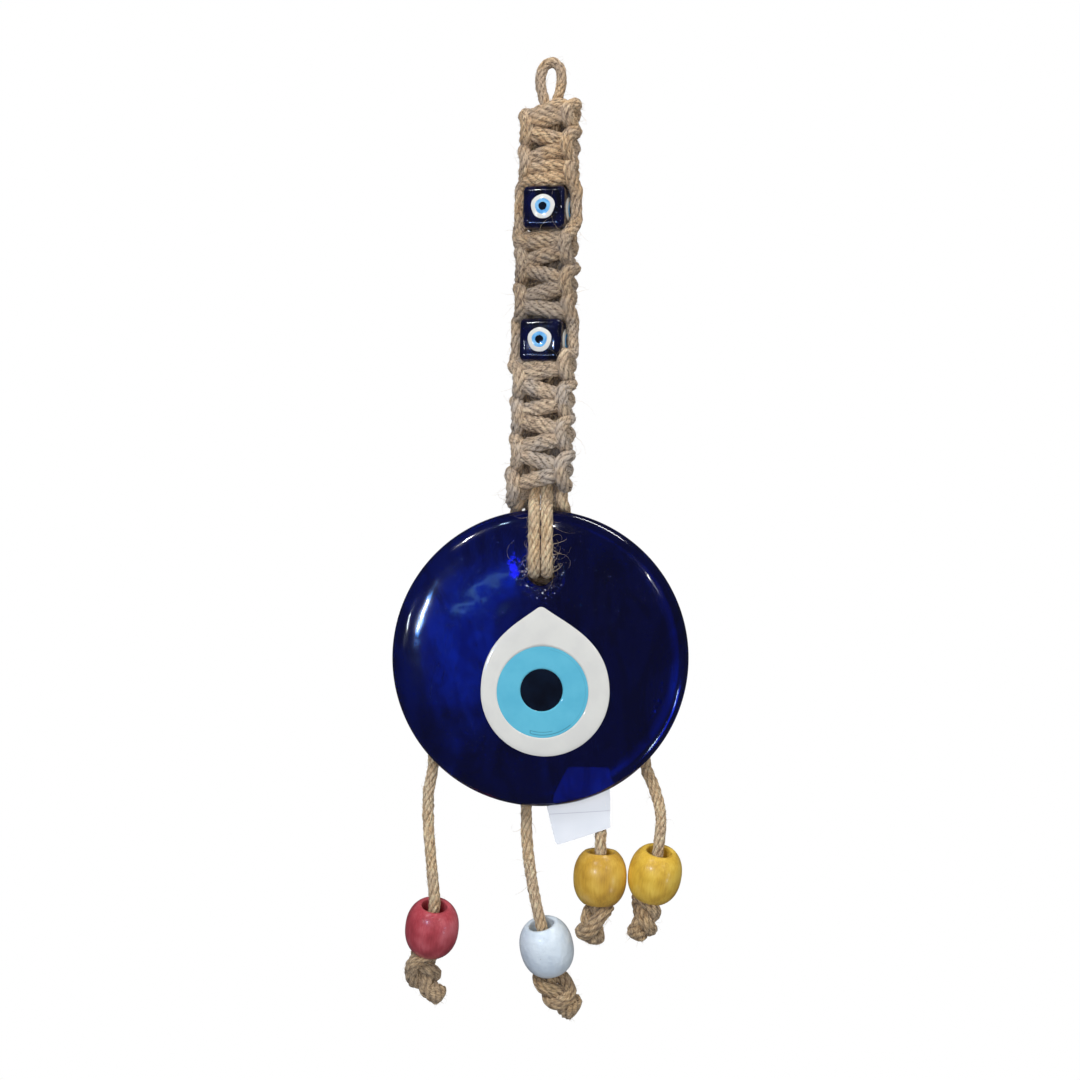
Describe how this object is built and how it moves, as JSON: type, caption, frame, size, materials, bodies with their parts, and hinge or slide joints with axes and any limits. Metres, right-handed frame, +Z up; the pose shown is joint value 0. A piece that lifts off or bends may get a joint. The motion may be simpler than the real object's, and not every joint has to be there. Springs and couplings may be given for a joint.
{
  "type": "evil eye ornament",
  "caption": "Hanging ornament: a knotted jute strap with glass cube beads, a cobalt glass disc with a fused eye, and cord tails with wooden beads.",
  "frame": {"origin": "the point inside the top of the hanging loop that rests on the nail", "axes": "+Z up along the hanging direction, the eye faces -Y, +X to the viewer's right"},
  "size_m": [0.09, 0.0235, 0.2931],
  "materials": {
    "jute": "fuzzy",
    "cobalt_glass": "gloss",
    "white_glass": "gloss",
    "light_blue_glass": "gloss",
    "black_glass": "gloss",
    "red_wood": "satin",
    "white_wood": "satin",
    "ochre_wood": "satin",
    "yellow_wood": "satin",
    "label_paper": "matte"
  },
  "bodies": {
    "root": {"core_cord": "jute", "knotwork_upper": "jute", "knotwork_middle": "jute", "knotwork_lower": "jute", "side_cord_upper_left": "jute", "side_cord_upper_right": "jute", "side_cord_lower_left": "jute", "side_cord_lower_right": "jute"},
    "cube_upper": {"cube_bead_upper": "cobalt_glass", "cube_upper_front_white": "white_glass", "cube_upper_front_blue": "light_blue_glass", "cube_upper_front_pupil": "black_glass", "cube_upper_right_white": "white_glass", "cube_upper_right_blue": "light_blue_glass", "cube_upper_right_pupil": "black_glass", "cube_upper_back_white": "white_glass", "cube_upper_back_blue": "light_blue_glass", "cube_upper_back_pupil": "black_glass", "cube_upper_left_white": "white_glass", "cube_upper_left_blue": "light_blue_glass", "cube_upper_left_pupil": "black_glass"},
    "cube_lower": {"cube_bead_lower": "cobalt_glass", "cube_lower_front_white": "white_glass", "cube_lower_front_blue": "light_blue_glass", "cube_lower_front_pupil": "black_glass", "cube_lower_right_white": "white_glass", "cube_lower_right_blue": "light_blue_glass", "cube_lower_right_pupil": "black_glass", "cube_lower_back_white": "white_glass", "cube_lower_back_blue": "light_blue_glass", "cube_lower_back_pupil": "black_glass", "cube_lower_left_white": "white_glass", "cube_lower_left_blue": "light_blue_glass", "cube_lower_left_pupil": "black_glass"},
    "disc": {"glass_disc": "cobalt_glass", "eye_white": "white_glass", "eye_iris": "light_blue_glass", "eye_pupil": "black_glass", "front_strand_left": "jute", "front_strand_right": "jute", "stopper_knot": "jute", "rear_run_red": "jute", "rear_run_white": "jute", "rear_run_ochre": "jute", "rear_run_yellow": "jute", "price_label": "label_paper"},
    "tail_red": {"tail_cord_red": "jute", "end_knot_red": "jute"},
    "bead_red": {"wood_bead_red": "red_wood"},
    "tail_white": {"tail_cord_white": "jute", "end_knot_white": "jute"},
    "bead_white": {"wood_bead_white": "white_wood"},
    "tail_ochre": {"tail_cord_ochre": "jute", "end_knot_ochre": "jute"},
    "bead_ochre": {"wood_bead_ochre": "ochre_wood"},
    "tail_yellow": {"tail_cord_yellow": "jute", "end_knot_yellow": "jute"},
    "bead_yellow": {"wood_bead_yellow": "yellow_wood"}
  },
  "joints": [
    {"name": "cube_upper_turn", "type": "hinge", "parent": "root", "child": "cube_upper", "pos_m": [-0.00107, 0, -0.04329], "axis": [0.0248, 0, 0.9997], "range_deg": [-15, 15]},
    {"name": "cube_lower_turn", "type": "hinge", "parent": "root", "child": "cube_lower", "pos_m": [-0.00206, 0, -0.08327], "axis": [0.0248, 0, 0.9997], "range_deg": [-15, 15]},
    {"name": "disc_swing", "type": "hinge", "parent": "root", "child": "disc", "pos_m": [-0.00334, 0, -0.1388], "axis": [1, 0, 0], "range_deg": [-25, 25]},
    {"name": "tail_red_swing", "type": "hinge", "parent": "disc", "child": "tail_red", "pos_m": [-0.03629, 0.00655, -0.2127], "axis": [1, 0, 0], "range_deg": [-20, 35]},
    {"name": "tail_white_swing", "type": "hinge", "parent": "disc", "child": "tail_white", "pos_m": [-0.00774, 0.00655, -0.2249], "axis": [1, 0, 0], "range_deg": [-20, 35]},
    {"name": "tail_ochre_swing", "type": "hinge", "parent": "disc", "child": "tail_ochre", "pos_m": [0.01506, 0.0074, -0.2213], "axis": [1, 0, 0], "range_deg": [0, 35]},
    {"name": "tail_yellow_swing", "type": "hinge", "parent": "disc", "child": "tail_yellow", "pos_m": [0.02906, 0.00655, -0.2133], "axis": [1, 0, 0], "range_deg": [-20, 35]},
    {"name": "bead_red_slide", "type": "slide", "parent": "tail_red", "child": "bead_red", "axis": [0.0348, -0.0753, 0.9966], "range_m": [0, 0.007]},
    {"name": "bead_white_slide", "type": "slide", "parent": "tail_white", "child": "bead_white", "axis": [-0.2204, -0.0778, 0.9723], "range_m": [0, 0.008]},
    {"name": "bead_ochre_slide", "type": "slide", "parent": "tail_ochre", "child": "bead_ochre", "axis": [0.0183, -0.0183, 0.9997], "range_m": [0, 0.0025]},
    {"name": "bead_yellow_slide", "type": "slide", "parent": "tail_yellow", "child": "bead_yellow", "axis": [0.0887, -0.0651, 0.9939], "range_m": [0, 0.008]}
  ]
}
